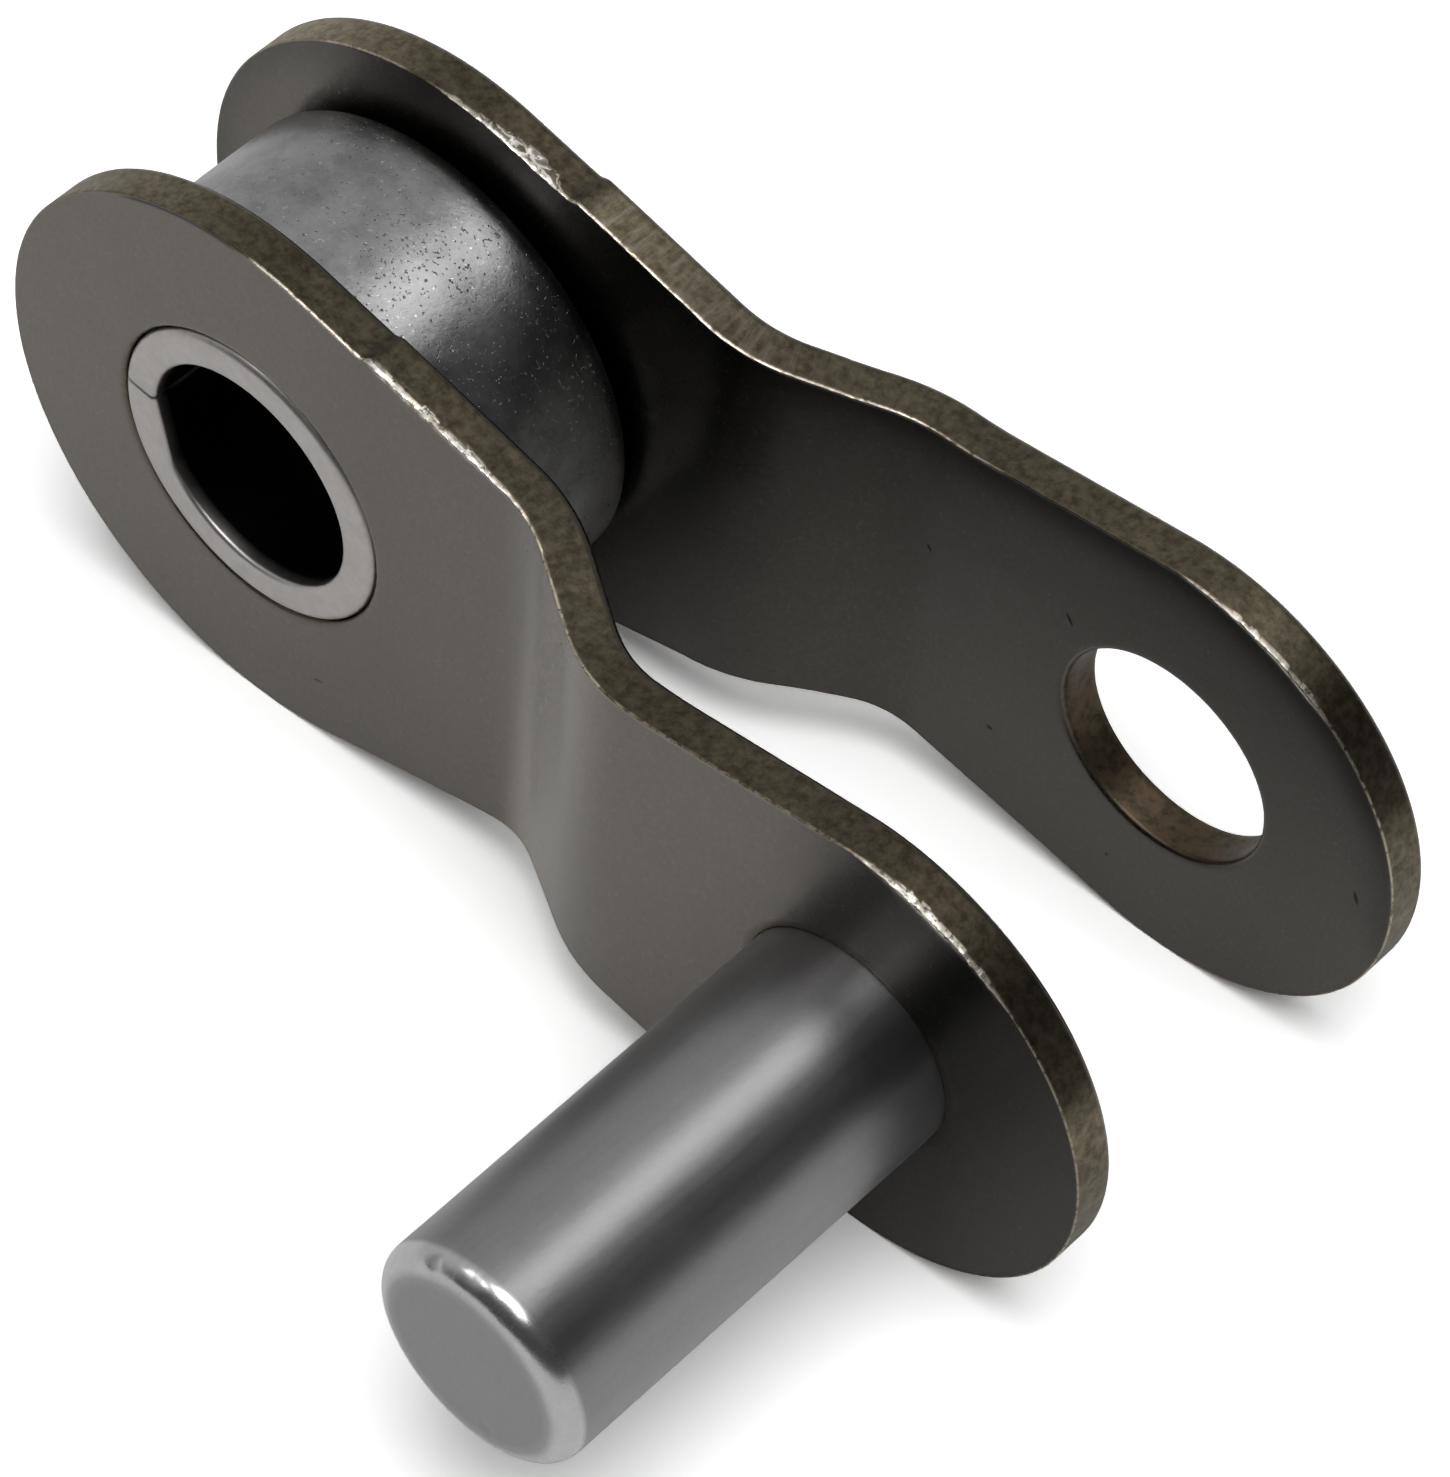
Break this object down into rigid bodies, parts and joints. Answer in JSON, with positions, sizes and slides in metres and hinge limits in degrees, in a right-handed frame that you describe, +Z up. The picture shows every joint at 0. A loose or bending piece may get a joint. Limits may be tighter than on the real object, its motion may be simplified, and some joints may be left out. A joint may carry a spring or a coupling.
{
  "type": "offset chain link",
  "caption": "Offset roller-chain link: two cranked side plates, a curled bush with a turning roller, and a connecting pin pressed part way out of one plate.",
  "frame": {"origin": "centre of the footprint, on the surface that the link's plates stand on, with the pin in its stored place", "axes": "+X along the link from the bush to the pin, +Y along the pin's axis from the plate that holds it to the plate with the empty hole, +Z up"},
  "size_m": [0.0216, 0.0148, 0.0096],
  "materials": {
    "plate_steel": "matt grey-brown with fine grain, sheared edges",
    "bush_steel": "satin",
    "roller_steel": "satin with small dark pits",
    "pin_steel": "smooth satin"
  },
  "bodies": {
    "link": {"plate_pin_side": "plate_steel", "plate_hole_side": "plate_steel", "bush": "bush_steel"},
    "roller": {"roller": "roller_steel"},
    "pin": {"connecting_pin": "pin_steel"}
  },
  "joints": [
    {"name": "roller_spin", "type": "hinge", "parent": "link", "child": "roller", "pos_m": [-0.00601, 0.00369, 0.00482], "axis": [0, 1, 0], "continuous": true},
    {"name": "pin_press", "type": "slide", "parent": "link", "child": "pin", "axis": [0, 1, 0], "range_m": [0, 0.007]}
  ]
}
